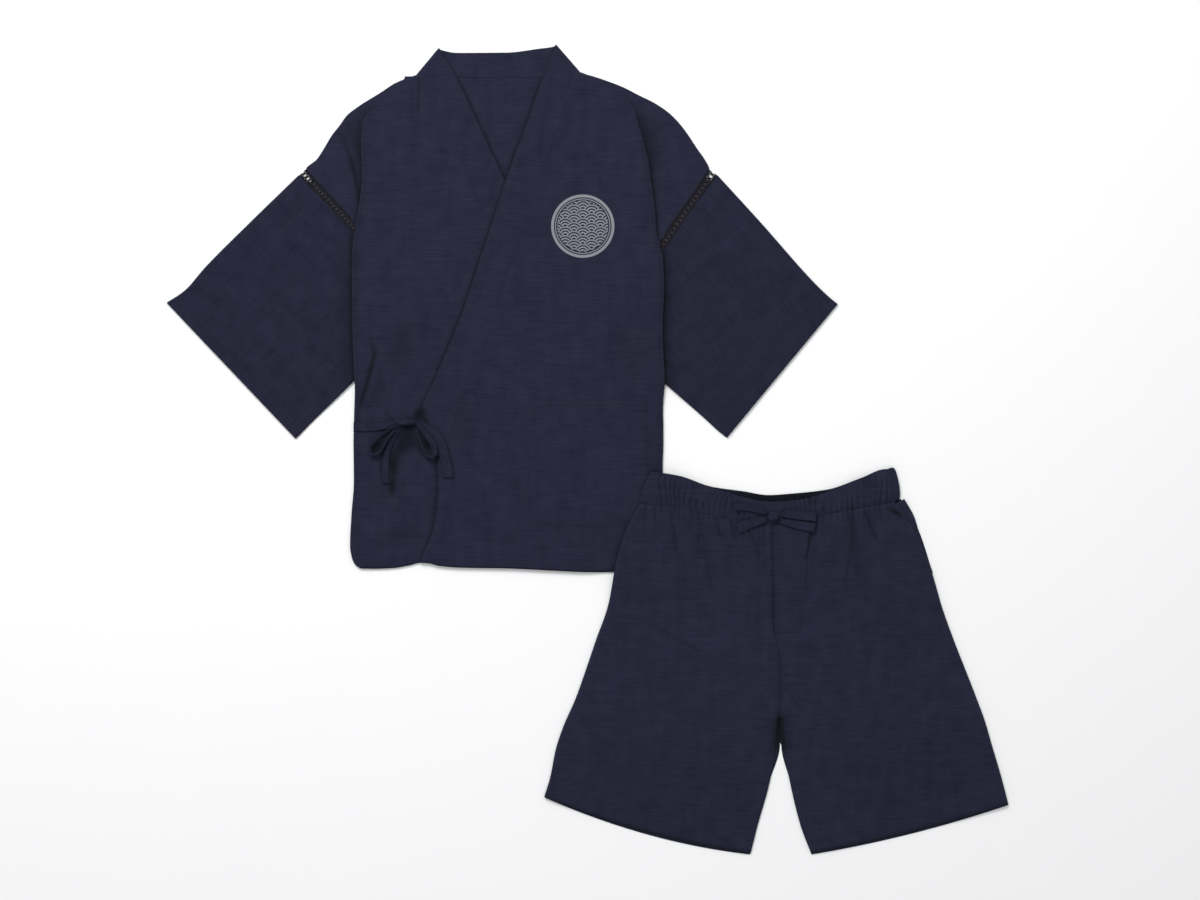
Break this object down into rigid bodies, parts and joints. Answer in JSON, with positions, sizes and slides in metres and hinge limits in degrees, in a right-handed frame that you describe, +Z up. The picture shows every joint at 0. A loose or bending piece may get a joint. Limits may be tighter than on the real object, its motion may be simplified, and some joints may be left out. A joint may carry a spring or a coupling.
{
  "type": "jinbei set",
  "caption": "Men's summer two-piece laid flat: a wrap top with openwork armhole seams and a side bow, and gathered drawstring shorts lying over its lower corner.",
  "frame": {"origin": "middle of the whole set's box, on the surface that it lies on", "axes": "+X towards the wearer's left side of both garments, +Y towards the top's collar, +Z up from the surface, out of the garments' fronts"},
  "size_m": [1.212, 1.1662, 0.017],
  "materials": {
    "navy_cotton": "matte slubbed plain weave",
    "navy_cotton_doubled": "matte slubbed plain weave, two layers",
    "navy_cotton_gathered": "matte slubbed plain weave, gathered on elastic",
    "navy_cotton_tape": "matte narrow tape folded from the cloth",
    "black_lace": "matte openwork ladder braid"
  },
  "bodies": {
    "root": {"top_back": "navy_cotton", "top_front_right": "navy_cotton", "top_front_left": "navy_cotton", "top_collar": "navy_cotton_doubled", "top_sleeve_right": "navy_cotton", "top_sleeve_left": "navy_cotton", "top_openwork_right_back": "black_lace", "top_openwork_right_front": "black_lace", "top_openwork_left_back": "black_lace", "top_openwork_left_front": "black_lace", "top_pocket": "navy_cotton", "tie_side": "navy_cotton_tape", "tie_knot": "navy_cotton_tape", "tie_loop_right": "navy_cotton_tape", "tie_loop_left": "navy_cotton_tape", "tie_end_right": "navy_cotton_tape", "tie_end_left": "navy_cotton_tape", "shorts_back_right": "navy_cotton", "shorts_back_left": "navy_cotton", "shorts_front_right": "navy_cotton", "shorts_front_left": "navy_cotton", "shorts_pocket_facing": "navy_cotton", "shorts_fly": "navy_cotton", "shorts_waistband": "navy_cotton_gathered", "drawstring_knot": "navy_cotton_tape", "drawstring_loop_right": "navy_cotton_tape", "drawstring_loop_left": "navy_cotton_tape", "drawstring_end_right": "navy_cotton_tape", "drawstring_end_left": "navy_cotton_tape"}
  },
  "joints": []
}
